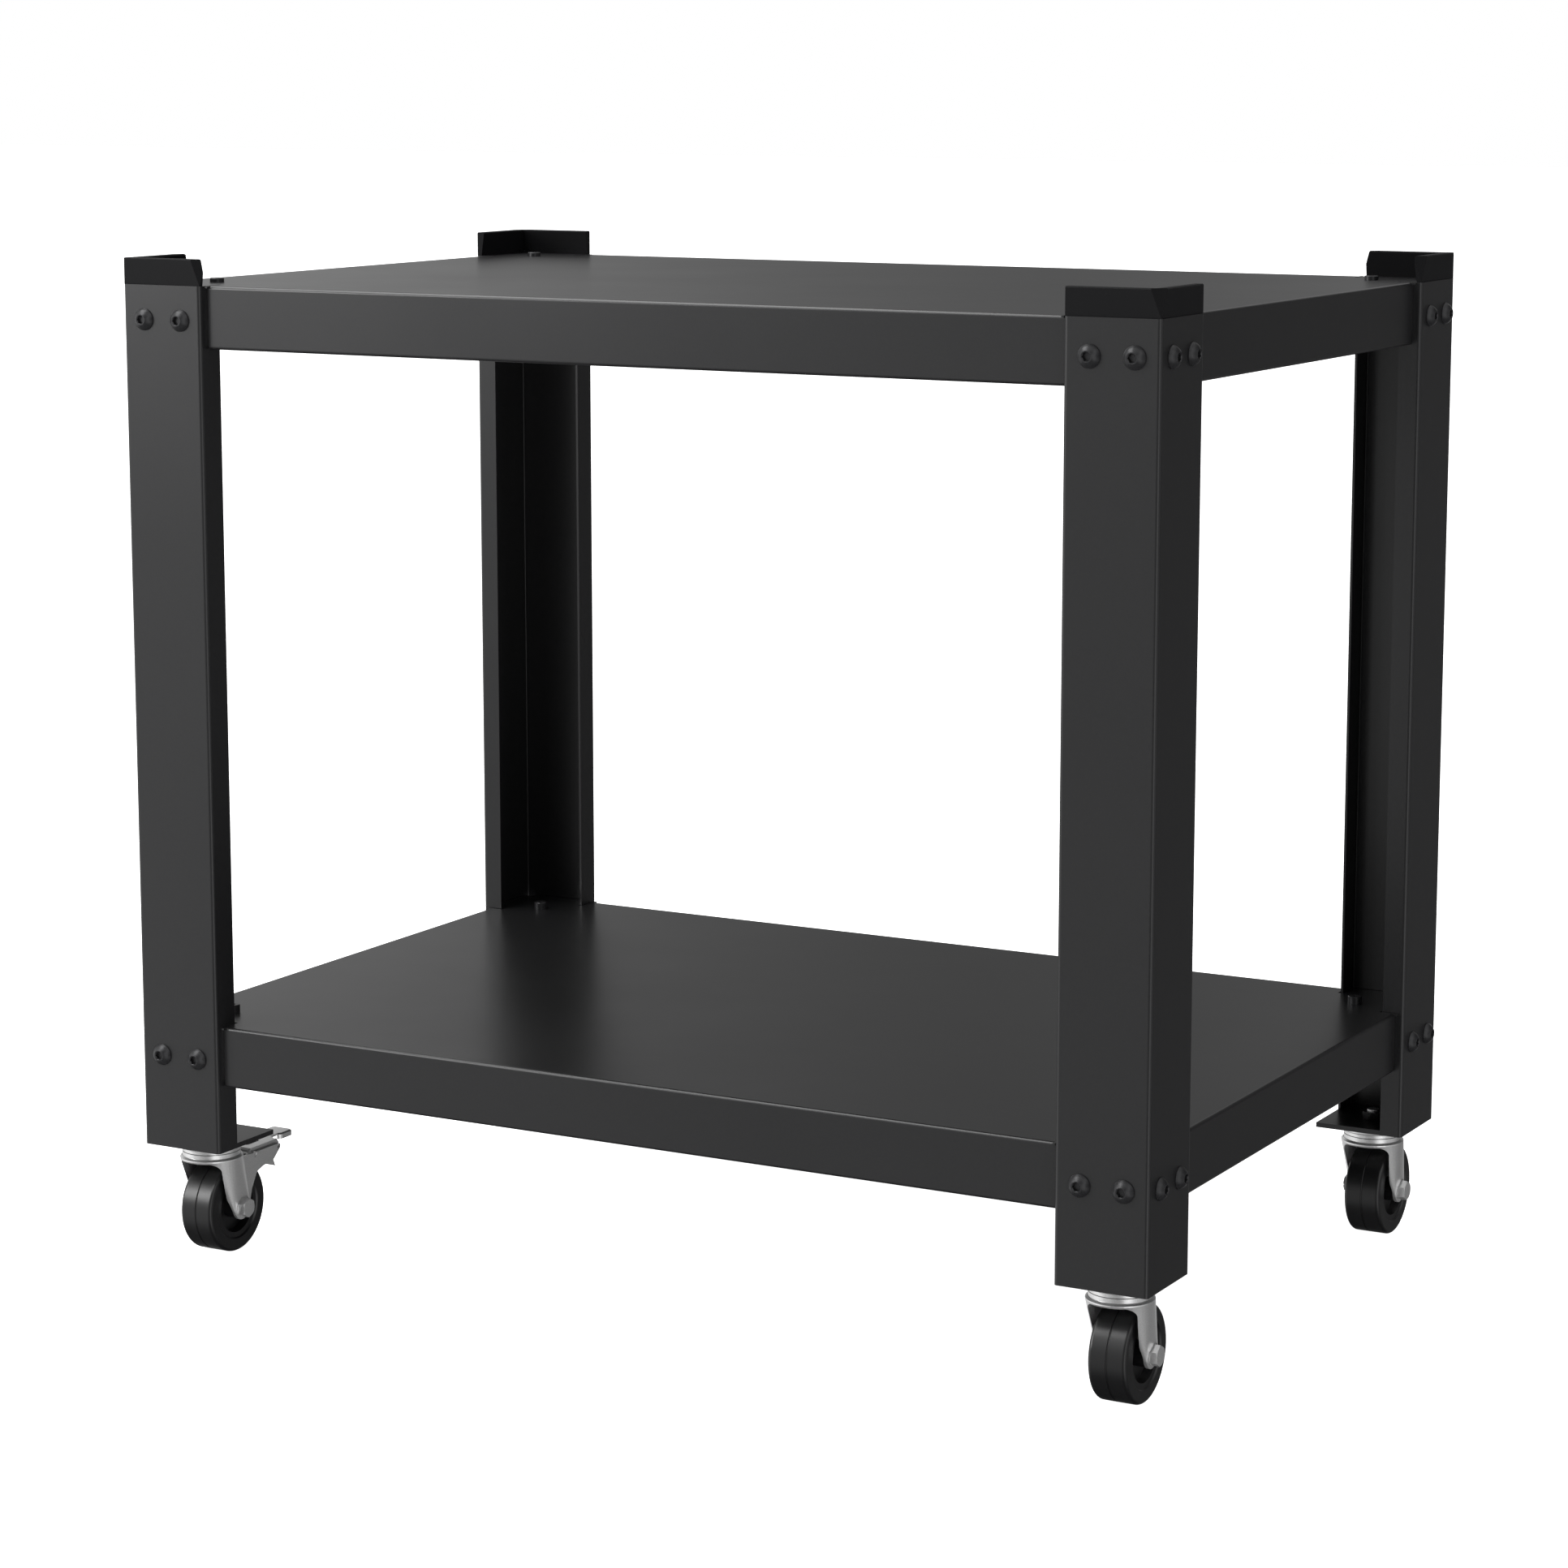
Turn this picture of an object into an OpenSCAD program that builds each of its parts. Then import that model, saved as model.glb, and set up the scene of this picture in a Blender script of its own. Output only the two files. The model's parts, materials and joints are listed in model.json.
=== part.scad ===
// Wheeled two-shelf stand for a pizza oven, in folded and powder-coated sheet steel.
// Millimetres, +X to the right, +Y to the back, +Z up, floor at zero, origin under the middle.
// A corner's own frame has its outer edge at zero and runs inwards along +X and +Y.

/* [Frame] */
// Width over the outer faces of the legs
stand_w = 900; // [700:10:1200]
// Depth over the outer faces of the legs
stand_d = 590; // [450:10:800]
// Length of a leg
leg_h = 705; // [640:5:800]
// Width of each of a leg's two faces
leg_w = 75; // [70:1:90]
// Depth of the lip on the inner edge of a leg's front or rear face
lip_deep = 25; // [20:0.5:28]
// Depth of the lip on the inner edge of a leg's side face
lip_side = 18.5; // [16:0.5:24]
// Sheet thickness of the legs
leg_sheet = 2; // [1.5:0.1:2.5]
// Outer radius of the bends of a leg
leg_bend_r = 3; // [2.8:0.1:4]

/* [Shelves] */
// Height from the top of the lower shelf to the top of the upper one
shelf_rise = 600; // [500:5:620]
// Sheet thickness of the shelves
shelf_sheet = 1.5; // [1.2:0.1:2]
// Outer radius of the bends of a shelf
shelf_bend_r = 2.5; // [2.2:0.1:3]
// Depth of the aprons folded down round a shelf
apron_h = 50; // [44:1:60]
// How far an apron lies behind the outer faces of the legs
apron_set = 7.5; // [6:0.5:10]
// Width of the flange folded inwards along the foot of an apron
apron_return = 12; // [8:1:16]
// Gap between the end of an apron and the lip of the leg
apron_gap = 2; // [1:0.5:4]
// Depth of the tabs that a shelf's corners bolt to the legs with
tab_h = 44; // [40:1:48]
// Gap between the sheet of a shelf and the lips of the legs
lip_clear = 0.5; // [0.3:0.1:1]
// Side of the square left open in the tip of each shelf corner
corner_relief = 11.5; // [11:0.5:13]

/* [Shelf bolts] */
// Thread diameter of the button-head bolts
bolt_d = 10; // [8:1:10]
// Length of a bolt under its head
bolt_len = 12; // [11.5:0.5:13]
// Diameter of a bolt's head
bolt_head_d = 17.5; // [14:0.5:18]
// Height of a bolt's head
bolt_head_h = 5.5; // [4:0.5:6]
// Key size of the socket in a bolt's head
bolt_key = 6; // [5:0.5:7]
// Distance of the first bolt of a face from the leg's outer edge
bolt_edge = 20; // [19:1:22]
// Distance between the two bolts of a face
bolt_pitch = 35; // [30:1:36]
// Height of the shelf's top above its bolts
bolt_drop = 27.5; // [22:0.5:30]
// Width across flats of the bolts' nuts
nut_af = 16; // [13:1:17]
// Height of the bolts' nuts
nut_h = 5; // [4:0.5:6]
// Clearance between a fastener and its hole, on the radius
bolt_clear = 0.08; // [0.03:0.01:0.1]

/* [Corner angles and screws] */
// Sheet thickness of the angles under the shelf corners
angle_sheet = 2; // [1.5:0.1:2.2]
// Width of an angle along the side of the stand
angle_w = 28; // [24:1:30]
// Height of the flange of an angle that the bolt clamps
angle_h = 40; // [36:1:42]
// Reach of the flange of an angle under the shelf
angle_reach = 56; // [54:1:60]
// Distance of the upright screw from the leg's outer side face
screw_in_x = 50; // [46:1:52]
// Distance of the upright screw from the leg's outer front face
screw_in_y = 57; // [54:1:60]
// Thread diameter of the upright screws
screw_d = 6; // [5:1:6]
// Length of an upright screw under its head
screw_len = 12; // [11:1:16]
// Diameter of an upright screw's head
screw_head_d = 11.5; // [10:0.5:12]
// Height of the flat heads on the top shelf
low_head_h = 3.5; // [3:0.5:4]
// Height of the cap heads on the lower shelf
cap_head_h = 6.5; // [5:0.5:8]
// Key size of the upright screws
screw_key = 4; // [3:0.5:5]
// Width across flats of the screws' nuts
screw_nut_af = 10; // [9:1:11]
// Height of the screws' nuts
screw_nut_h = 5; // [4:0.5:6]

/* [Corner cups] */
// Height of a cup's walls above the leg
cup_h = 21; // [15:1:30]
// Thickness of a cup's walls at their foot
cup_wall = 4.2; // [3.5:0.1:6]
// How much thicker the walls are at their top
cup_flare = 2.8; // [1:0.1:4]
// How far the cup lies behind the outer faces of the leg
cup_inset = 0.7; // [0.5:0.1:1.5]
// Run of a cup's facets at its top, along the width of the stand
cup_facet_x = 8.5; // [6:0.5:12]
// Run of a cup's facets at its top, along the depth of the stand
cup_facet_y = 11.5; // [6:0.5:14]
// Depth of the plug that seats a cup in the top of its leg
cup_plug_h = 12; // [8:1:14]
// Gap between a cup's plug and the metal round it
plug_clear = 0.3; // [0.2:0.1:0.5]

/* [Caster mounting] */
// Height of the leg's foot above the floor
caster_h = 97; // [96:0.5:110]
// Thickness of the plate that closes the foot of a leg
plate_t = 4; // [3:0.5:6]
// Distance of the swivel axis from both outer faces of the leg
swivel_inset = 38.5; // [36:0.5:39]
// Diameter of the threaded stem
stem_d = 10; // [8:1:12]
// Height of the stem's nut
stem_nut_h = 6; // [5:0.5:8]
// Width across flats of the stem's nut
stem_nut_af = 16; // [15:1:19]
// Length of the stem's end above its nut
stem_end = 2; // [1:0.5:4]

/* [Swivel head] */
// Radius of the cap over the swivel bearing
cap_r = 25.5; // [24:0.5:27]
// Height of the cap
cap_h = 5.5; // [4.5:0.5:6.5]
// Radius of both bearing rings
race_r = 24; // [22.5:0.5:24.5]
// Height of the upper ring
race_up_h = 2.5; // [2:0.5:3]
// Height of the ring on the fork
race_low_h = 3.4; // [3.2:0.1:4]
// Gap between the two rings
race_gap = 0.6; // [0.5:0.1:1]
// Diameter of a bearing ball
ball_d = 5; // [4.5:0.1:5.2]
// Radius of the circle of balls
ball_ring_r = 18.5; // [17:0.5:19]
// Number of balls
ball_count = 16; // [8:1:18]
// Gap between a ball and its groove
ball_clear = 0.3; // [0.2:0.05:0.4]
// Diameter of the kingpin
kingpin_d = 12; // [10:1:14]
// Diameter of the kingpin's riveted head
rivet_d = 18; // [16:1:20]
// Height of the riveted head
rivet_h = 3; // [2:0.5:4]

/* [Fork] */
// Radius of the fork's crown
crown_r = 26; // [25:0.5:28]
// Sheet thickness of the fork
fork_sheet = 2.5; // [2:0.1:3]
// Trail of the axle behind the swivel axis
trail = 14; // [12:1:18]
// Radius of the rounded end of an arm
arm_end_r = 10.5; // [9.5:0.5:12]
// Radius of the flat that the axle bolt's head and nut rest on
spot_r = 9.5; // [9:0.5:10]
// Gap between the wheel's hub and an arm
hub_gap = 1; // [0.8:0.1:2.5]
// How much wider the arch is at its top than at the axle, on each side
arch_wide = 3; // [2:0.5:4]
// Drop of the arch below the underside of the crown
arch_drop = 1.2; // [1:0.1:3]
// Corner radius of the arch
arch_r = 7; // [3:0.5:8]

/* [Wheel] */
// Diameter of the wheel
wheel_d = 76; // [70:1:77]
// Width of the wheel
wheel_w = 31; // [24:1:32]
// Radius of the tread's shoulders
shoulder_r = 3; // [2:0.5:6]
// Radius of the shallow ring in the wheel's side at its outer edge
recess_r = 27.5; // [25:0.5:29]
// Width of the shallow ring
ring_w = 5.5; // [4:0.5:7]
// Depth of the shallow ring
ring_deep = 1.2; // [0.8:0.1:2]
// Depth of the recess inside the ring
recess_deep = 8; // [5:0.5:10]
// Draft of the recess on the radius
recess_draft = 1.5; // [1:0.5:4]
// Radius of the wheel's hub
hub_r = 10; // [9:0.5:12]
// How far the hub stands proud of the tread's width, on each side
hub_proud = 1; // [0.5:0.1:1.5]
// Width of the moulding line round the tread
line_w = 1.6; // [1:0.1:2.4]
// Depth of the moulding line
line_depth = 0.7; // [0.4:0.1:1.2]
// Outer diameter of the axle sleeve
sleeve_d = 12; // [11:0.5:13]
// Running clearance of the wheel on its sleeve, on the radius
run_clear = 0.08; // [0.05:0.01:0.1]
// Thread diameter of the axle bolt
axle_d = 8; // [7:0.5:9]
// Width across flats of the axle bolt's head
axle_head_af = 14.5; // [13:0.5:16]
// Height of the axle bolt's head
axle_head_h = 7; // [5:0.5:8]
// Width across flats of the axle nut
axle_nut_af = 13; // [12:0.5:15]
// Height of the axle nut
axle_nut_h = 8; // [6:0.5:9]

/* [Brake] */
// Distance of the pedal's pivot behind the swivel axis
pivot_back = 33; // [32:0.5:35]
// Height of the pivot below the top of the crown
pivot_drop = 6.5; // [6:0.5:8]
// Diameter of the pivot pin
pivot_d = 5; // [4:0.5:6]
// Reach of the fork's side flanges behind the swivel axis
flange_reach = 69; // [66:1:72]
// Height of the flanges' upper edge below the top of the crown
flange_drop = 5; // [4.5:0.1:5.5]
// Sheet thickness of the pedal
pedal_sheet = 2; // [1.6:0.1:2.4]
// Gap between the pedal and the fork's flanges
pedal_gap = 0.6; // [0.4:0.1:1]
// Reach of the pedal's tread behind the swivel axis
pedal_reach = 101; // [94:1:110]
// Length of the pedal's tread
pedal_tread = 19; // [15:1:24]
// Width of the pedal's tread
pedal_tread_w = 21; // [16:1:26]
// Depth of the tread's turned-down edges
pedal_edge_h = 5; // [4:0.5:6]
// Height of the pedal's flat above its pivot
pedal_rise = 5; // [4.5:0.5:6]
// Length of the pedal's web behind the pivot
pedal_web = 39; // [36:1:42]
// Reach of the claw's biting edge behind the pivot
claw_in = 15; // [13:0.5:17]
// Depth of the claw's biting edge below the pivot
claw_deep = 12; // [11:0.5:13]
// Reach of the claw's rear edge behind the pivot
claw_out = 32.5; // [30:0.5:34]
// Depth of the claw's rear edge below the pivot
claw_low = 18; // [16:0.5:19]
// Angle that the pedal is pressed through
pedal_stroke = 17; // [14:0.5:18]
// Gap between the claw and the tread at the end of the stroke
brake_clear = 0.5; // [0.3:0.1:1]

/* [Hidden] */
$fn = 64;
CORNERS = [["front_left", -1, -1], ["front_right", 1, -1], ["rear_left", -1, 1], ["rear_right", 1, 1]];
// Overlap of one cut or joined shape with the next
eps = 0.01;
// Overlap of a bend's flat with the sheet that it belongs to
sheet_lap = 1;
// Levels
leg_top = caster_h + leg_h;
lower_top = leg_top - shelf_rise;
// Swivel head levels, from the foot of the leg down
cap_z = caster_h - cap_h;
race_up_z = cap_z - race_up_h;
race_low_top = race_up_z - race_gap;
crown_top = race_low_top - race_low_h;
crown_z = crown_top - fork_sheet;
ball_z = race_low_top + race_gap / 2;
axle_z = wheel_d / 2;
arm_in = wheel_w / 2 + hub_proud + hub_gap;
arm_out = arm_in + fork_sheet;
arch_z = crown_z - arch_drop;
// Free inner edge of a leg's face and the start of a tab's clear length
lip_in = leg_w - leg_sheet;
tab_from = corner_relief;
ear_to = lip_in - lip_clear;
tab_to = ear_to - (leg_bend_r - leg_sheet);
// Ends of the aprons on the long and the short sides
front_apron = stand_w / 2 - leg_w - apron_gap;
side_apron = stand_d / 2 - leg_w - apron_gap;
pivot_z = crown_top - pivot_drop;
pedal_out = arm_in - pedal_gap;
// Middle of the whole object along Y, from the front bolt heads to the tip of the rear pedal
mid_y = (pedal_reach - swivel_inset - bolt_head_h) / 2;
STEEL = "#3b3b3c";
PLASTIC = "#1c1c1d";
BLACK_OXIDE = "#2a2a2b";
ZINC = "#b9bbbd";
TREAD = "#151516";

// Moves the legs' middle so that the origin lies under the middle of the whole object
module placed() {
    translate([0, -mid_y, 0]) children();
}

// Puts its children, drawn in a corner's own frame, into a corner round the legs' middle
module in_corner(c) {
    mirror([c[1] > 0 ? 1 : 0, 0, 0])
        mirror([0, c[2] > 0 ? 1 : 0, 0])
            translate([-stand_w / 2, -stand_d / 2, 0]) children();
}

module at_corner(c) {
    placed() in_corner(c) children();
}

// Puts a caster's parts on its swivel axis, all casters trailing to the back
module at_caster(c) {
    placed() translate([c[1] * (stand_w / 2 - swivel_inset), c[2] * (stand_d / 2 - swivel_inset), 0]) children();
}

// Rectangle with round corners, from its lowest corner
module round_rect(w, d, r) {
    translate([r, 0]) square([w - 2 * r, d]);
    translate([0, r]) square([w, d - 2 * r]);
    for (x = [r, w - r], y = [r, d - r]) translate([x, y]) circle(r = r);
}

// Quarter of a bent sheet, convex towards -X and +Y, its centre at zero
module bend_2d(r, t) {
    intersection() {
        difference() {
            circle(r = r);
            circle(r = r - t);
        }
        translate([-r, 0]) square([r, r]);
    }
}

// The places of the bolts of one face, along the face
function face_bolts() = [bolt_edge, bolt_edge + bolt_pitch];

// Puts its children on each bolt axis of the front face, then of the side face, pointing inwards
module at_front_bolts(top) {
    for (x = face_bolts()) translate([x, 0, top - bolt_drop]) rotate([-90, 0, 0]) children();
}

module at_side_bolts(top) {
    for (y = face_bolts()) translate([0, y, top - bolt_drop]) rotate([0, 90, 0]) children();
}

// A leg: two faces with a lip folded in along each free edge, open to the inside
module leg_section() {
    difference() {
        round_rect(leg_w, leg_w, leg_bend_r);
        translate([leg_sheet, leg_sheet])
            round_rect(leg_w - 2 * leg_sheet, leg_w - 2 * leg_sheet, leg_bend_r - leg_sheet);
        translate([lip_side, lip_deep]) square(leg_w);
    }
}

module leg(c) {
    color(STEEL) at_corner(c) difference() {
        translate([0, 0, caster_h]) linear_extrude(leg_h) leg_section();
        for (top = [leg_top, lower_top]) {
            at_front_bolts(top) translate([0, 0, -1]) cylinder(d = bolt_d + 2 * bolt_clear, h = leg_sheet + 2);
            at_side_bolts(top) translate([0, 0, -1]) cylinder(d = bolt_d + 2 * bolt_clear, h = leg_sheet + 2);
        }
    }
}

// An apron seen from its end: bend, upright and the flange folded in at its foot
module apron_2d() {
    r = shelf_bend_r;
    t = shelf_sheet;
    translate([r, -r]) bend_2d(r, t);
    translate([r, -t]) square([sheet_lap, t]);
    translate([0, r - apron_h]) square([t, apron_h - 2 * r]);
    translate([r, r - apron_h]) mirror([0, 1]) bend_2d(r, t);
    translate([r, -apron_h]) square([apron_return - r, t]);
}

// Half outline of the flat sheet in one corner, up to the bend lines of its tabs
module shelf_corner_2d() {
    bend = leg_sheet + shelf_bend_r;
    difference() {
        translate([bend, bend]) square(leg_w + 2 * apron_gap - bend);
        square(corner_relief);
        translate([ear_to, -eps]) square([leg_w + apron_gap - ear_to, lip_deep + apron_gap]);
        translate([-eps, ear_to]) square([lip_side + apron_gap, leg_w + apron_gap - ear_to]);
    }
}

module shelf_plan() {
    w = front_apron;
    d = side_apron;
    edge = apron_set + shelf_bend_r;
    translate([-w, edge - stand_d / 2]) square([2 * w, stand_d - 2 * edge]);
    translate([edge - stand_w / 2, -d]) square([stand_w - 2 * edge, 2 * d]);
    for (c = CORNERS) in_corner(c) shelf_corner_2d();
}

// A tab of a shelf corner, bent down against the inside of the leg's front face
module shelf_tab() {
    translate([tab_from, leg_sheet, 0]) rotate([90, 0, 90]) linear_extrude(tab_to - tab_from) {
        translate([shelf_bend_r, -shelf_bend_r]) bend_2d(shelf_bend_r, shelf_sheet);
        translate([shelf_bend_r, -shelf_sheet]) square([sheet_lap, shelf_sheet]);
        translate([0, -tab_h]) square([shelf_sheet, tab_h - shelf_bend_r]);
    }
}

module shelf(top) {
    color(STEEL) placed() difference() {
        translate([0, 0, top]) {
            translate([0, 0, -shelf_sheet]) linear_extrude(shelf_sheet) shelf_plan();
            for (s = [0, 180]) rotate([0, 0, s]) {
                translate([-front_apron, apron_set - stand_d / 2, 0])
                    rotate([90, 0, 90]) linear_extrude(2 * front_apron) apron_2d();
                translate([apron_set - stand_w / 2, side_apron, 0])
                    rotate([90, 0, 0]) linear_extrude(2 * side_apron) apron_2d();
            }
            for (c = CORNERS) in_corner(c) {
                shelf_tab();
                mirror([1, -1, 0]) shelf_tab();
            }
        }
        for (c = CORNERS) in_corner(c) {
            at_front_bolts(top) cylinder(d = bolt_d + 2 * bolt_clear, h = 2 * bolt_len);
            at_side_bolts(top) cylinder(d = bolt_d + 2 * bolt_clear, h = 2 * bolt_len);
            translate([screw_in_x, screw_in_y, top - 2 * shelf_sheet])
                cylinder(d = screw_d + 2 * bolt_clear, h = 3 * shelf_sheet);
        }
    }
}

// A button-head bolt along +Z from the face that its head rests on, head towards -Z
module button_bolt() {
    flat_r = bolt_key * 0.72;
    rim = 0.8;
    rise = bolt_head_h - rim;
    // Centre of the ball that the dome is cut from, measured from the rim
    back = (pow(bolt_head_d / 2, 2) - pow(flat_r, 2) - pow(rise, 2)) / (2 * rise);
    difference() {
        union() {
            cylinder(d = bolt_d, h = bolt_len);
            translate([0, 0, -rim]) cylinder(d = bolt_head_d, h = rim);
            intersection() {
                translate([0, 0, back - rim]) sphere(r = sqrt(pow(bolt_head_d / 2, 2) + pow(back, 2)));
                translate([0, 0, -bolt_head_h]) cylinder(d = bolt_head_d, h = rise + eps);
            }
        }
        translate([0, 0, -bolt_head_h - eps]) cylinder(d = bolt_key / cos(30), h = 3 + eps, $fn = 6);
        translate([0, 0, -bolt_head_h - eps]) cylinder(d1 = bolt_key / cos(30) + 0.4, d2 = bolt_key, h = 0.8);
    }
}

module shelf_bolts(top) {
    color(BLACK_OXIDE) for (c = CORNERS) at_corner(c) {
        at_front_bolts(top) button_bolt();
        at_side_bolts(top) button_bolt();
    }
}

// A hexagonal nut with its lower face at zero, flats across X
module hex_nut(af, h, bore) {
    difference() {
        intersection() {
            rotate([0, 0, 30]) cylinder(d = af / cos(30), h = h, $fn = 6);
            translate([0, 0, h / 2]) sphere(r = sqrt(pow(af / 2 + 0.35, 2) + pow(h / 2, 2)));
        }
        translate([0, 0, -1]) cylinder(d = bore + 2 * bolt_clear, h = h + 2);
    }
}

// The bolt next to the inner edge of a side face also clamps the corner angle
module shelf_nuts(top) {
    stack = leg_sheet + shelf_sheet;
    color(BLACK_OXIDE) for (c = CORNERS) at_corner(c) {
        at_front_bolts(top) translate([0, 0, stack]) rotate([0, 0, 30]) hex_nut(nut_af, nut_h, bolt_d);
        for (i = [0, 1])
            translate([stack + i * angle_sheet, face_bolts()[i], top - bolt_drop])
                rotate([0, 90, 0]) hex_nut(nut_af, nut_h, bolt_d);
    }
}

// An angle under a shelf corner: one flange behind the tab, one under the sheet
module corner_angle(top) {
    x0 = leg_sheet + shelf_sheet;
    y0 = face_bolts()[1] - angle_w / 2;
    r = angle_sheet + 1;
    difference() {
        translate([x0, y0 + angle_w, top - shelf_sheet]) rotate([90, 0, 0]) linear_extrude(angle_w) {
            translate([r, -r]) bend_2d(r, angle_sheet);
            translate([0, -angle_h]) square([angle_sheet, angle_h - r]);
            translate([r, -angle_sheet]) square([angle_reach - r, angle_sheet]);
        }
        at_side_bolts(top) cylinder(d = bolt_d + 2 * bolt_clear, h = 2 * bolt_len);
        translate([screw_in_x, screw_in_y, top - screw_len])
            cylinder(d = screw_d + 2 * bolt_clear, h = screw_len);
    }
}

module shelf_angles(top) {
    color(STEEL) for (c = CORNERS) at_corner(c) corner_angle(top);
}

// An upright screw with a socket in its head, its head resting on the shelf
module upright_screw(head_h) {
    difference() {
        union() {
            translate([0, 0, -screw_len]) cylinder(d = screw_d, h = screw_len);
            cylinder(d = screw_head_d, h = head_h - 0.5);
            translate([0, 0, head_h - 0.5]) cylinder(d1 = screw_head_d, d2 = screw_head_d - 1, h = 0.5);
        }
        translate([0, 0, head_h / 2]) cylinder(d = screw_key / cos(30), h = head_h, $fn = 6);
    }
}

module shelf_screws(top, head_h) {
    color(BLACK_OXIDE) for (c = CORNERS) at_corner(c)
        translate([screw_in_x, screw_in_y, top]) upright_screw(head_h);
}

module all_screw_nuts() {
    color(BLACK_OXIDE) for (c = CORNERS, top = [leg_top, lower_top]) at_corner(c)
        translate([screw_in_x, screw_in_y, top - shelf_sheet - angle_sheet - screw_nut_h])
            hex_nut(screw_nut_af, screw_nut_h, screw_d);
}

// Wedge with its edge at the foot, taken off an upright edge that stands at zero
module facet_cut(run_x, run_y, h) {
    over = 1.2;
    far = -1;
    polyhedron(
        [[0, 0, 0], [run_x * over, 0, h * over], [0, run_y * over, h * over],
         [far, far, 0], [run_x * over, far, h * over], [far, run_y * over, h * over], [far, far, h * over]],
        [[0, 1, 2], [0, 3, 4, 1], [0, 2, 5, 3], [1, 4, 6, 5, 2], [3, 5, 6, 4]]);
}

// One wall of a cup, from its outer face: thin at the foot and flared inwards to the top
module cup_wall_2d() {
    r = 0.8;
    polygon([[0, 0], [cup_wall, 0], [cup_wall + cup_flare, cup_h - r],
             [cup_wall + cup_flare - r, cup_h], [r, cup_h], [0, cup_h - r]]);
}

// Two cups that face each other across the stand have their corner cut off, the other two
// the free ends of their walls
module cup(c) {
    span = leg_w - 2 * cup_inset;
    plug = corner_relief - leg_sheet - 2 * plug_clear;
    color(PLASTIC) at_corner(c) difference() {
        translate([cup_inset, cup_inset, leg_top]) {
            for (m = [0, 1]) mirror([m, -m, 0])
                translate([0, span, 0]) rotate([90, 0, 0]) linear_extrude(span) cup_wall_2d();
            translate([leg_sheet + plug_clear - cup_inset, leg_sheet + plug_clear - cup_inset, -cup_plug_h])
                cube([plug, plug, cup_plug_h + 2]);
        }
        translate([cup_inset, cup_inset, leg_top]) {
            if (c[1] != c[2]) facet_cut(cup_facet_x, cup_facet_y, cup_h);
            else {
                translate([span, 0, 0]) mirror([1, 0, 0]) facet_cut(cup_facet_x, cup_facet_y, cup_h);
                translate([0, span, 0]) mirror([0, 1, 0]) facet_cut(cup_facet_x, cup_facet_y, cup_h);
            }
        }
    }
}

// The plate welded in the foot of a leg, with the hole for the caster's stem. Past the lips
// it reaches out to the leg's full square.
module foot_plate(c) {
    color(STEEL) at_corner(c) translate([0, 0, caster_h]) difference() {
        linear_extrude(plate_t) {
            difference() {
                translate([leg_sheet, leg_sheet]) square(lip_in - leg_sheet);
                leg_section();
                square(leg_bend_r);
            }
            translate([lip_side, lip_deep]) square([leg_w - lip_side, leg_w - lip_deep]);
        }
        translate([swivel_inset, swivel_inset, -1]) cylinder(d = stem_d + 2 * bolt_clear, h = plate_t + 2);
    }
}

module all_stem_nuts() {
    color(BLACK_OXIDE) for (c = CORNERS) at_caster(c)
        translate([0, 0, caster_h + plate_t]) hex_nut(stem_nut_af, stem_nut_h, stem_d);
}

// Ring groove that the bearing balls run in
module ball_groove() {
    translate([0, 0, ball_z]) rotate_extrude() translate([ball_ring_r, 0]) circle(r = ball_d / 2 + ball_clear);
}

// Stem, cap, upper ring, kingpin and its riveted head, which is formed after the fork is on
module caster_stem(c) {
    rim = 1.5;
    color(ZINC) at_caster(c) difference() {
        union() {
            translate([0, 0, caster_h]) cylinder(d = stem_d, h = plate_t + stem_nut_h + stem_end);
            translate([0, 0, cap_z + rim]) cylinder(r = cap_r, h = cap_h - 2 * rim);
            for (z = [cap_z + rim, caster_h - rim]) translate([0, 0, z]) rotate_extrude() {
                square([cap_r - rim, rim], center = false);
                translate([0, -rim]) square([cap_r - rim, rim]);
                translate([cap_r - rim, 0]) circle(r = rim);
            }
            translate([0, 0, race_up_z]) cylinder(r = race_r, h = race_up_h + eps);
            translate([0, 0, crown_z - 0.3]) cylinder(d = kingpin_d, h = cap_z - crown_z + 0.3);
            translate([0, 0, crown_z - 0.3 - rivet_h]) cylinder(d1 = rivet_d - 4, d2 = rivet_d, h = rivet_h);
        }
        ball_groove();
    }
}

module swivel_balls(c) {
    color(ZINC) at_caster(c) for (i = [0 : ball_count - 1])
        rotate([0, 0, i * 360 / ball_count]) translate([ball_ring_r, 0, ball_z]) sphere(d = ball_d, $fn = 24);
}

// Bar along the axle's axis, x being half its length
module axle_bar(r, x, facets) {
    translate([-x, trail, axle_z]) rotate([0, 90, 0]) cylinder(r = r, h = 2 * x, $fn = facets);
}

// The pressing before its hollow and arches are cut: a round crown that runs down to the axle
module fork_blank() {
    bend = 1.5;
    hull() {
        translate([0, 0, crown_z]) cylinder(r = crown_r, h = fork_sheet - bend, $fn = 48);
        translate([0, 0, crown_z]) cylinder(r = crown_r - bend, h = fork_sheet, $fn = 48);
        axle_bar(arm_end_r, arm_out, 32);
    }
}

// The hollow under the crown, a sheet's thickness inside the blank but for a boss at the axle
module fork_hollow() {
    difference() {
        hull() {
            translate([0, 0, crown_z - eps]) cylinder(r = crown_r - fork_sheet, h = eps, $fn = 48);
            axle_bar(arm_end_r + fork_sheet, arm_in, 32);
        }
        axle_bar(arm_end_r, 2 * arm_out, 64);
    }
}

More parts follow.
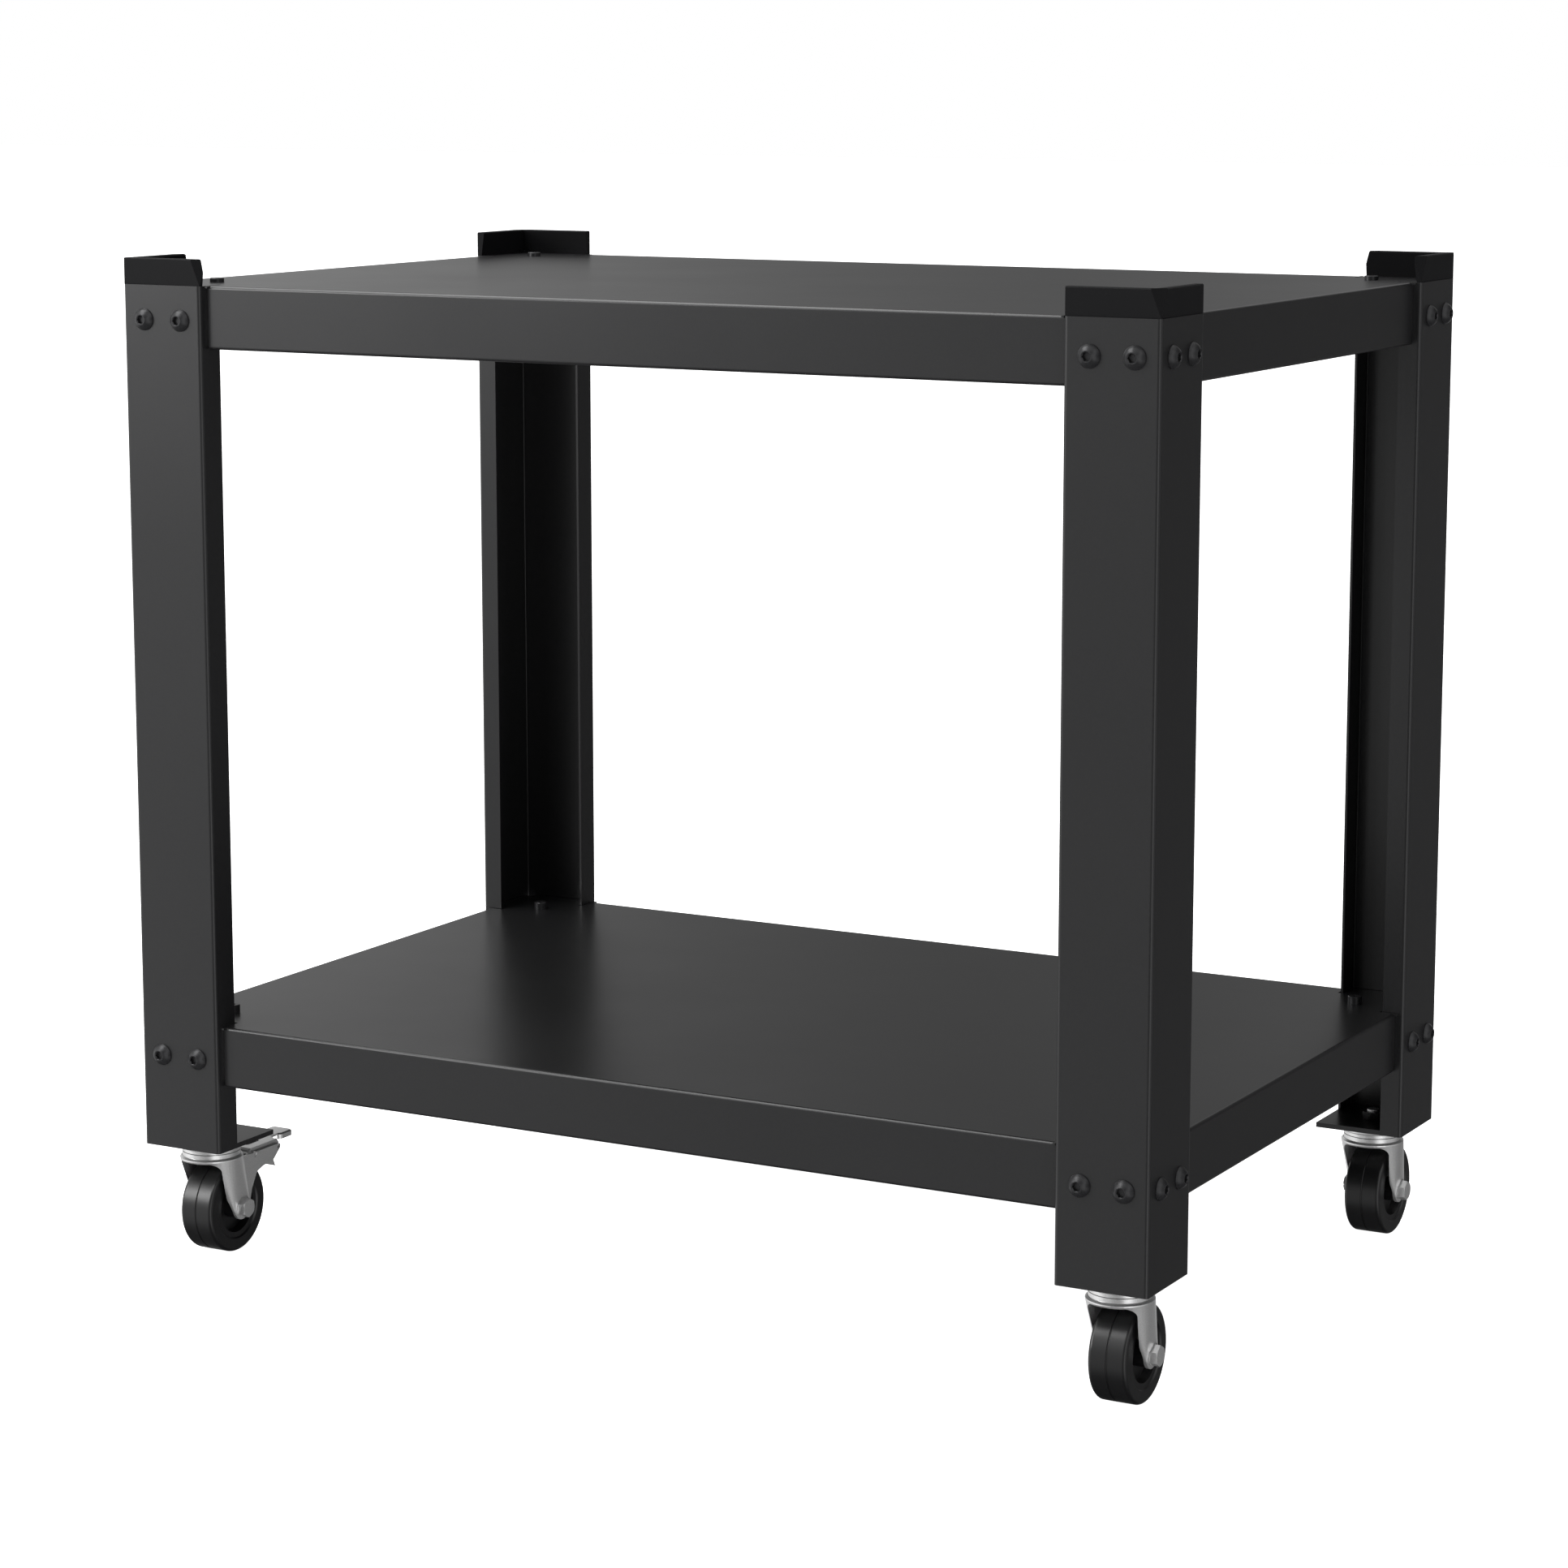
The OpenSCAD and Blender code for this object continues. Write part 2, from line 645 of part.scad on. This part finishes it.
// Outline of the opening between the arms: upright sides at the axle, then sides that lean out
// by the given amount, and round corners
module arch_2d(wide) {
    low = -eps;
    flat_z = axle_z + arm_end_r;
    lean = atan2(wide, arch_z - flat_z);
    // Centre of a corner, so that it touches the top and the leaning side
    mid_x = arm_in + wide - arch_r * (1 + sin(lean)) / cos(lean);
    mid_z = arch_z - arch_r;
    side = [mid_x + arch_r * cos(lean), mid_z - arch_r * sin(lean)];
    polygon([[-arm_in, low], [arm_in, low], [arm_in, flat_z], side, [mid_x, mid_z], [mid_x, arch_z],
             [-mid_x, arch_z], [-mid_x, mid_z], [-side[0], side[1]], [-arm_in, flat_z]]);
    for (s = [-1, 1]) translate([s * mid_x, mid_z]) circle(r = arch_r);
}

// Side flange of a braked fork, seen from the side with the swivel axis at zero
module brake_flange_2d() {
    top = crown_top - flange_drop;
    tip = flange_reach;
    from = trail + 3;
    difference() {
        offset(r = 2) offset(r = -8) offset(r = 6)
            polygon([[from, top], [tip, top], [tip, top - 3.5], [tip - 10, top - 12], [trail + 30, top - 14],
                     [trail + 21, top - 17], [trail + 13.5, top - 30], [trail + arm_end_r, axle_z], [from, axle_z]]);
        translate([tip - 3, top - 3]) circle(r = 1.5);
    }
}

module fork(c, braked) {
    across = 2 * arm_out + 6;
    color(ZINC) at_caster(c) difference() {
        union() {
            difference() {
                fork_blank();
                fork_hollow();
                rotate([90, 0, 0]) linear_extrude(3 * crown_r) arch_2d(arch_wide);
                translate([0, 3 * crown_r, 0]) rotate([90, 0, 0])
                    linear_extrude(3 * crown_r + eps) arch_2d(braked ? eps : arch_wide);
                for (s = [0, 180]) rotate([0, 0, s]) translate([arm_out, s > 0 ? -trail : trail, axle_z])
                    rotate([0, 90, 0]) cylinder(r = spot_r, h = crown_r);
            }
            translate([0, 0, crown_top - eps]) cylinder(r = race_r, h = race_low_h + eps);
            if (braked) for (x = [arm_in, -arm_out]) translate([x, 0, 0])
                rotate([90, 0, 90]) linear_extrude(fork_sheet) brake_flange_2d();
        }
        ball_groove();
        translate([0, 0, crown_z - 1]) cylinder(d = kingpin_d + 2 * bolt_clear, h = crown_top);
        translate([-across / 2, trail, axle_z]) rotate([0, 90, 0])
            cylinder(d = axle_d + 2 * bolt_clear, h = across);
        if (braked) translate([-across / 2, pivot_back, pivot_z]) rotate([0, 90, 0])
            cylinder(d = pivot_d + 2 * bolt_clear, h = across);
    }
}

// Axle bolt across the fork, its head on the +X side
module axle_bolt(c) {
    color(ZINC) at_caster(c) translate([arm_out, trail, axle_z]) rotate([0, 90, 0]) {
        translate([0, 0, -2 * arm_out - axle_nut_h - 1]) cylinder(d = axle_d, h = 2 * arm_out + axle_nut_h + 1);
        intersection() {
            cylinder(d = axle_head_af / cos(30), h = axle_head_h, $fn = 6);
            translate([0, 0, axle_head_h - 12]) sphere(r = sqrt(pow(axle_head_af / 2, 2) + pow(12, 2)));
        }
        cylinder(d = axle_head_af + 1.5, h = 1);
    }
}

module axle_nut(c) {
    color(ZINC) at_caster(c) translate([-arm_out, trail, axle_z]) rotate([0, -90, 0])
        hex_nut(axle_nut_af, axle_nut_h, axle_d);
}

// Sleeve that the arms clamp and the wheel turns on
module axle_sleeve(c) {
    color(ZINC) at_caster(c) translate([-arm_in, trail, axle_z]) rotate([0, 90, 0]) difference() {
        cylinder(d = sleeve_d, h = 2 * arm_in);
        translate([0, 0, -1]) cylinder(d = axle_d + 2 * bolt_clear, h = 2 * arm_in + 2);
    }
}

// Half of the wheel's section, from the bore out to the tread, thickness along +Y
module wheel_half_2d() {
    r = wheel_d / 2;
    w = wheel_w / 2;
    bore = sleeve_d / 2 + run_clear;
    in_r = recess_r - ring_w;
    difference() {
        union() {
            translate([bore, 0]) square([hub_r - bore, w + hub_proud]);
            translate([bore, 0]) square([r - shoulder_r - bore, w]);
            translate([bore, 0]) square([r - bore, w - shoulder_r]);
            translate([r - shoulder_r, w - shoulder_r]) circle(r = shoulder_r);
        }
        polygon([[hub_r, w + 1], [hub_r, w - recess_deep], [in_r - recess_draft, w - recess_deep],
                 [in_r, w - ring_deep], [recess_r - ring_deep, w - ring_deep], [recess_r, w], [recess_r, w + 1]]);
        translate([r, 0]) scale(line_depth) circle(r = line_w / 2 / line_depth);
        translate([0, -w]) square([r + 1, w]);
    }
}

module wheel(c) {
    color(TREAD) at_caster(c) translate([0, trail, axle_z]) rotate([0, 90, 0]) rotate_extrude() {
        wheel_half_2d();
        mirror([0, 1]) wheel_half_2d();
    }
}

// The tread and its clearance as the pedal meets it at the end of its stroke, in the pedal's frame
module pressed_tread_2d() {
    translate([pivot_back, pivot_z]) rotate(pedal_stroke)
        translate([trail - pivot_back, axle_z - pivot_z]) circle(r = wheel_d / 2 + brake_clear);
}

// Cheek of the brake pedal, seen from the side with the swivel axis at zero
module pedal_cheek_2d() {
    r = pedal_rise;
    difference() {
        union() {
            translate([pivot_back, pivot_z]) circle(r = r);
            translate([pivot_back, pivot_z])
                polygon([[0, r], [pedal_web - 4, r], [pedal_web - 1, r - 4], [claw_out - 6, claw_low / 2 - claw_low],
                         [claw_out, -claw_low], [claw_in, -claw_deep], [-r * 0.7, -r * 0.7]]);
        }
        pressed_tread_2d();
    }
}

// The claw that bites on the tread: a plate between the cheeks, bent up to the web at its rear
module claw_2d() {
    t = pedal_sheet;
    difference() {
        translate([pivot_back, pivot_z])
            polygon([[claw_in, -claw_deep], [claw_out, -claw_low], [claw_out - 6 + t, -claw_low / 2],
                     [claw_out - 6 + t, pedal_rise - eps], [claw_out - 6, pedal_rise - eps],
                     [claw_out - 6, -claw_low / 2], [claw_out - t - 0.5, -claw_low + 1.3 * t], [claw_in, t - claw_deep]]);
        pressed_tread_2d();
    }
}

// Flat of the pedal seen from above: the web with its window, and the neck to the tread
module pedal_flat_2d() {
    neck = pedal_tread_w / 2 - 3;
    start = pivot_back - 2;
    web = pivot_back + pedal_web;
    difference() {
        polygon([[-pedal_out, start], [pedal_out, start], [pedal_out, web - 6], [neck, web],
                 [neck, pedal_reach - 8], [-neck, pedal_reach - 8], [-neck, web], [-pedal_out, web - 6]]);
        translate([-pedal_out / 2, start + 7]) round_rect(pedal_out, claw_out - 14, 3);
    }
}

// The tread that the foot presses: a dished tab with its edges turned down, open to the front
module pedal_tread_form() {
    edge = 1.2;
    h = pedal_edge_h;
    w = pedal_tread_w;
    difference() {
        hull() {
            translate([-w / 2, 0, -h]) linear_extrude(h - edge) round_rect(w, pedal_tread, 4, $fn = 32);
            translate([edge - w / 2, edge, -h])
                linear_extrude(h) round_rect(w - 2 * edge, pedal_tread - 2 * edge, 3, $fn = 32);
        }
        translate([pedal_sheet - w / 2, -eps, -h - 1])
            linear_extrude(h + 1 - pedal_sheet) round_rect(w - 2 * pedal_sheet, pedal_tread - pedal_sheet, 2);
    }
}

module brake_pedal(c) {
    top = pivot_z + pedal_rise;
    color(ZINC) at_caster(c) difference() {
        union() {
            for (x = [pedal_out - pedal_sheet, -pedal_out]) translate([x, 0, 0])
                rotate([90, 0, 90]) linear_extrude(pedal_sheet) pedal_cheek_2d();
            translate([eps - pedal_out, 0, 0]) rotate([90, 0, 90]) linear_extrude(2 * (pedal_out - eps)) claw_2d();
            translate([0, 0, top - pedal_sheet]) linear_extrude(pedal_sheet) pedal_flat_2d();
            translate([0, pedal_reach - pedal_tread, top]) pedal_tread_form();
        }
        translate([-arm_out, pivot_back, pivot_z]) rotate([0, 90, 0])
            cylinder(d = pivot_d + 2 * run_clear, h = 2 * arm_out);
    }
}

// Pivot pin seated in the notches of the fork's flanges
module brake_pin(c) {
    len = 2 * arm_out - 1;
    color(ZINC) at_caster(c) translate([-len / 2, pivot_back, pivot_z]) rotate([0, 90, 0])
        cylinder(d = pivot_d, h = len);
}

for (c = CORNERS) {
    leg(c);
    cup(c);
    foot_plate(c);
    caster_stem(c);
    swivel_balls(c);
    fork(c, c[1] < 0);
    axle_bolt(c);
    axle_nut(c);
    axle_sleeve(c);
    wheel(c);
    if (c[1] < 0) brake_pedal(c);
    if (c[1] < 0) brake_pin(c);
}
shelf(leg_top);  // top_shelf
shelf(lower_top);  // lower_shelf
shelf_bolts(leg_top);  // top_shelf_bolts
shelf_bolts(lower_top);  // lower_shelf_bolts
shelf_nuts(leg_top);  // top_shelf_nuts
shelf_nuts(lower_top);  // lower_shelf_nuts
shelf_angles(leg_top);  // top_shelf_angles
shelf_angles(lower_top);  // lower_shelf_angles
shelf_screws(leg_top, low_head_h);  // top_shelf_screws
shelf_screws(lower_top, cap_head_h);  // lower_shelf_screws
all_screw_nuts();  // screw_nuts
all_stem_nuts();  // stem_nuts
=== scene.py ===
"""Looks for a wheeled pizza oven stand in powder-coated sheet steel, on a white studio floor."""
import json
import math

import bpy
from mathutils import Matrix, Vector

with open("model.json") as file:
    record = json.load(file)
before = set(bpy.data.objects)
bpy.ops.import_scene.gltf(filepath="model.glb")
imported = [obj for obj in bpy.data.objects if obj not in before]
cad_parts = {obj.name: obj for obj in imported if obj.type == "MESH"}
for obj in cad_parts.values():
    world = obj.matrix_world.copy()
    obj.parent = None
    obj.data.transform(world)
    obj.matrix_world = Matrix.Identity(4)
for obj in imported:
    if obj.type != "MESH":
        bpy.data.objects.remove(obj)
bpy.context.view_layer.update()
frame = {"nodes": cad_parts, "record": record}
MM = 0.001

# The colour sockets of a Mix node, which share their names with its number sockets
MIX_A, MIX_B, MIX_RESULT = 6, 7, 2


def linear(hex_colour):
    """sRGB hex to the linear RGBA that shaders take."""
    parts = [int(hex_colour[i:i + 2], 16) / 255 for i in (1, 3, 5)]
    return tuple(p / 12.92 if p <= 0.04045 else ((p + 0.055) / 1.055) ** 2.4 for p in parts) + (1.0,)


def add(tree, kind, links=None, **settings):
    """Adds a node. A setting that names one of its sockets fills that socket, any other is a property."""
    made = tree.nodes.new(kind)
    for key, value in settings.items():
        socket = made.inputs.get(key.replace("_", " ")) if key[0].isupper() else None
        if socket is None:
            setattr(made, key, value)
        else:
            socket.default_value = value
    for key, source in (links or {}).items():
        tree.links.new(source, made.inputs[key])
    return made


def bare(name):
    """A new material and its empty tree."""
    material = bpy.data.materials.new(name)
    material.use_nodes = True
    material.node_tree.nodes.clear()
    return material, material.node_tree


def finished(material, shader):
    """The material, with this shader as its surface."""
    add(material.node_tree, "ShaderNodeOutputMaterial", {"Surface": shader.outputs["BSDF"]})
    return material


def powder_coat():
    """Graphite polyester powder coat, baked on sheet steel. It is satin, with a fine orange peel
    that breaks the reflections up, and melts a little thicker in broad soft patches."""
    patch_width, grain_width = 140 * MM, 1.2 * MM
    # The peel is about 1 mm across and is drawn at 3 mm, so that it shows in the render
    peel_width, peel_height = 3 * MM, 0.05 * MM
    material, tree = bare("powder_coat_graphite")
    place = add(tree, "ShaderNodeTexCoord").outputs["Object"]
    patch = add(tree, "ShaderNodeTexNoise", {"Vector": place}, Scale=1 / patch_width, Detail=3.0)
    grain = add(tree, "ShaderNodeTexNoise", {"Vector": place}, Scale=1 / grain_width, Detail=2.0)
    peel = add(tree, "ShaderNodeTexNoise", {"Vector": place}, Scale=1 / peel_width, Detail=1.5)
    tone = add(tree, "ShaderNodeMix", {"Factor": grain.outputs["Fac"]}, data_type="RGBA")
    tone.inputs[MIX_A].default_value = linear("#111112")
    tone.inputs[MIX_B].default_value = linear("#19191a")
    gloss = add(tree, "ShaderNodeMapRange", {"Value": patch.outputs["Fac"]}, To_Min=0.27, To_Max=0.34)
    bump = add(tree, "ShaderNodeBump", {"Height": peel.outputs["Fac"]},
               Strength=0.12, Distance=peel_height)
    shader = add(tree, "ShaderNodeBsdfPrincipled", {
        "Base Color": tone.outputs[MIX_RESULT],
        "Roughness": gloss.outputs["Result"],
        "Normal": bump.outputs["Normal"],
    }, IOR=1.5)
    return finished(material, shader)


def moulded_plastic():
    """Black polypropylene, injection moulded with a fine grain that leaves it matt, with hardly a sheen."""
    flow_width = 25 * MM
    # The mould's grain is about 0.2 mm across and is drawn at 1 mm, so that it shows in the render
    grain_width, grain_height = 1 * MM, 0.05 * MM
    material, tree = bare("polypropylene_moulded_black")
    place = add(tree, "ShaderNodeTexCoord").outputs["Object"]
    grain = add(tree, "ShaderNodeTexNoise", {"Vector": place}, Scale=1 / grain_width, Detail=2.0)
    flow = add(tree, "ShaderNodeTexNoise", {"Vector": place}, Scale=1 / flow_width, Detail=2.0)
    gloss = add(tree, "ShaderNodeMapRange", {"Value": flow.outputs["Fac"]}, To_Min=0.4, To_Max=0.5)
    bump = add(tree, "ShaderNodeBump", {"Height": grain.outputs["Fac"]},
               Strength=0.15, Distance=grain_height)
    shader = add(tree, "ShaderNodeBsdfPrincipled", {
        "Roughness": gloss.outputs["Result"],
        "Normal": bump.outputs["Normal"],
    }, Base_Color=linear("#131314"), Specular_IOR_Level=0.05)
    return finished(material, shader)


def black_oxide():
    """Black oxide on forged and turned steel: a thin dark film that leaves the metal's own sheen."""
    # The film's grain is far below 0.1 mm and is drawn at 0.8 mm, so that it shows in the render
    grain_width = 0.8 * MM
    material, tree = bare("black_oxide_steel")
    place = add(tree, "ShaderNodeTexCoord").outputs["Object"]
    grain = add(tree, "ShaderNodeTexNoise", {"Vector": place}, Scale=1 / grain_width, Detail=3.0)
    tone = add(tree, "ShaderNodeMix", {"Factor": grain.outputs["Fac"]}, data_type="RGBA")
    tone.inputs[MIX_A].default_value = linear("#232324")
    tone.inputs[MIX_B].default_value = linear("#2d2d2f")
    gloss = add(tree, "ShaderNodeMapRange", {"Value": grain.outputs["Fac"]}, To_Min=0.3, To_Max=0.36)
    shader = add(tree, "ShaderNodeBsdfPrincipled", {
        "Base Color": tone.outputs[MIX_RESULT],
        "Roughness": gloss.outputs["Result"],
    }, Metallic=0.5)
    return finished(material, shader)


def zinc_plate():
    """Zinc electroplate on pressed steel, a little dulled, with the fine speckle of its crystals."""
    cloud_width = 12 * MM
    # The crystals are below 0.1 mm and are drawn at 0.7 mm, so that they show in the render
    crystal_width = 0.7 * MM
    material, tree = bare("zinc_electroplate")
    place = add(tree, "ShaderNodeTexCoord").outputs["Object"]
    crystals = add(tree, "ShaderNodeTexNoise", {"Vector": place}, Scale=1 / crystal_width, Detail=1.0)
    cloud = add(tree, "ShaderNodeTexNoise", {"Vector": place}, Scale=1 / cloud_width, Detail=2.0)
    tone = add(tree, "ShaderNodeMix", {"Factor": crystals.outputs["Fac"]}, data_type="RGBA")
    tone.inputs[MIX_A].default_value = linear("#d4d4d4")
    tone.inputs[MIX_B].default_value = linear("#f4f4f4")
    gloss = add(tree, "ShaderNodeMapRange", {"Value": cloud.outputs["Fac"]}, To_Min=0.3, To_Max=0.38)
    shader = add(tree, "ShaderNodeBsdfPrincipled", {
        "Base Color": tone.outputs[MIX_RESULT],
        "Roughness": gloss.outputs["Result"],
    }, Metallic=0.9)
    return finished(material, shader)


def wheel_nylon():
    """Black polyamide, moulded and then turned true on the tread, which leaves it half glossy."""
    flow_width = 15 * MM
    material, tree = bare("polyamide_moulded_black")
    place = add(tree, "ShaderNodeTexCoord").outputs["Object"]
    flow = add(tree, "ShaderNodeTexNoise", {"Vector": place}, Scale=1 / flow_width, Detail=2.0)
    gloss = add(tree, "ShaderNodeMapRange", {"Value": flow.outputs["Fac"]}, To_Min=0.31, To_Max=0.35)
    shader = add(tree, "ShaderNodeBsdfPrincipled", {"Roughness": gloss.outputs["Result"]},
                 Base_Color=linear("#0b0b0c"), IOR=1.53)
    return finished(material, shader)


def studio_white():
    """Matt white board for the floor, with a glow that makes it as white as the backdrop."""
    material, tree = bare("studio_board_white")
    shader = add(tree, "ShaderNodeBsdfPrincipled", Base_Color=linear("#f4f4f4"), Roughness=0.9,
                 Emission_Color=linear("#ffffff"), Emission_Strength=1.0)
    return finished(material, shader)


# The record's material slots and the finish that each one gets
FINISHES = {
    "powder_coat": powder_coat(),
    "moulded_plastic": moulded_plastic(),
    "black_oxide": black_oxide(),
    "zinc_plate": zinc_plate(),
    "wheel_tread": wheel_nylon(),
}
for part in frame["record"]["subparts"]:
    for slot in frame["nodes"][part["node"]].material_slots:
        slot.material = FINISHES[part["material_slot"]]

# Floor, reaching far behind the stand. Gloss doesn't see it, so that the undersides stay dark
REACH = 30.0
floor_mesh = bpy.data.meshes.new("floor")
floor_mesh.from_pydata([(-REACH, -REACH, 0), (REACH, -REACH, 0), (REACH, REACH, 0), (-REACH, REACH, 0)],
                       [], [(0, 1, 2, 3)])
floor = bpy.data.objects.new("floor", floor_mesh)
floor.data.materials.append(studio_white())
bpy.context.collection.objects.link(floor)
floor.visible_glossy = False

# Brightness of the studio in front of the stand and behind it, each as (direction, brightness), where
# the direction runs from -1 on the left to 1 on the right. Tall white boards stand in front on the
# far left and on the right, with dark flags between them that keep the black finish deep
AHEAD = [(-0.78, 1.1), (-0.62, 1.0), (-0.56, 0.38), (-0.46, 0.31), (-0.38, 0.74),
         (-0.1, 0.3), (0.5, 0.14), (0.68, 1.5), (0.86, 1.3), (0.94, 0.3)]
BEHIND = [(-0.7, 0.72), (-0.56, 0.47), (-0.48, 0.24), (-0.42, 0.16), (-0.34, 0.26),
          (-0.22, 0.5), (-0.03, 0.5), (0.13, 0.11), (0.7, 0.08), (0.95, 0.45)]


def studio_air():
    """The studio round the stand, dim low down and bright overhead. The camera itself sees plain white."""
    world = bpy.data.worlds.new("studio_air")
    world.use_nodes = True
    air = world.node_tree
    air.nodes.clear()
    around = add(air, "ShaderNodeTexCoord").outputs["Generated"]
    toward = add(air, "ShaderNodeSeparateXYZ", {"Vector": around})
    across = add(air, "ShaderNodeMapRange", {"Value": toward.outputs["X"]}, From_Min=-1.0, From_Max=1.0)
    halves = []
    for stops in (AHEAD, BEHIND):
        boards = add(air, "ShaderNodeValToRGB", {"Fac": across.outputs["Result"]})
        line = boards.color_ramp.elements
        while len(line) < len(stops):
            line.new(0.5)
        for stop, (direction, brightness) in zip(line, stops):
            stop.position = (direction + 1) / 2
            stop.color = (brightness, brightness, brightness, 1.0)
        halves.append(boards.outputs["Color"])
    turn = add(air, "ShaderNodeMapRange", {"Value": toward.outputs["Y"]}, interpolation_type="SMOOTHSTEP",
               From_Min=-0.4, From_Max=0.4, To_Min=0.0, To_Max=1.0)
    low = add(air, "ShaderNodeMapRange", {"Value": toward.outputs["Z"]}, interpolation_type="SMOOTHSTEP",
              From_Min=-0.75, From_Max=-0.35, To_Min=0.1, To_Max=1.0)
    high = add(air, "ShaderNodeMapRange", {"Value": toward.outputs["Z"]}, interpolation_type="SMOOTHSTEP",
               From_Min=0.55, From_Max=0.85, To_Min=0.0, To_Max=0.8)
    lit = add(air, "ShaderNodeMix", {"Factor": turn.outputs["Result"], "A": halves[0], "B": halves[1]})
    dimmed = add(air, "ShaderNodeMath", {0: lit.outputs["Result"], 1: low.outputs["Result"]},
                 operation="MULTIPLY")
    whole = add(air, "ShaderNodeMath", {0: dimmed.outputs["Value"], 1: high.outputs["Result"]},
                operation="ADD")
    seen = add(air, "ShaderNodeLightPath").outputs["Is Camera Ray"]
    level = add(air, "ShaderNodeMath", {0: seen, 1: whole.outputs["Value"]}, operation="MAXIMUM")
    glow = add(air, "ShaderNodeBackground", {"Strength": level.outputs["Value"]}, Color=linear("#ffffff"))
    add(air, "ShaderNodeOutputWorld", {"Surface": glow.outputs["Background"]})
    return world


bpy.context.scene.world = studio_air()
bpy.context.scene.view_settings.view_transform = "Standard"


def softbox(name, place, target, size, watts):
    """A soft area light at a place, in metres, aimed at a target."""
    lamp = bpy.data.lights.new(name, "AREA")
    lamp.shape = "RECTANGLE"
    lamp.size, lamp.size_y = size
    lamp.energy = watts
    box = bpy.data.objects.new(name, lamp)
    bpy.context.collection.objects.link(box)
    box.location = place
    box.rotation_euler = (Vector(target) - Vector(place)).to_track_quat("-Z", "Y").to_euler()


softbox("front_left_softbox", place=(-2.5, -2.7, 1.6), target=(0, 0, 0.6), size=(1.4, 1.2), watts=50)
softbox("overhead_softbox", place=(-1.2, -1.2, 2.6), target=(-1.2, -1.2, 0), size=(1.5, 3.2), watts=66)

# Camera: front right of the stand, a little above the upper shelf, looking slightly down. Its place,
# its angles and its focal length in the photograph's pixels come from a fit to the stand's edges
CAMERA_PLACE = (1.6215, -2.9917, 0.9898)
YAW, PITCH = math.radians(28.863), math.radians(9.418)
FOCAL_PIXELS, PHOTO_PIXELS = 5141.2, 1932
SENSOR_WIDTH = 36.0
# A small shift, because the other views keep it and still have to show the whole stand
SHIFT = -0.03
aim = bpy.data.cameras.new("camera")
aim.sensor_width = SENSOR_WIDTH
aim.lens = SENSOR_WIDTH * FOCAL_PIXELS / PHOTO_PIXELS
aim.shift_y = SHIFT
camera = bpy.data.objects.new("camera", aim)
bpy.context.collection.objects.link(camera)
bpy.context.scene.camera = camera
camera.location = CAMERA_PLACE
camera.rotation_euler = (math.pi / 2 - PITCH, 0, YAW)
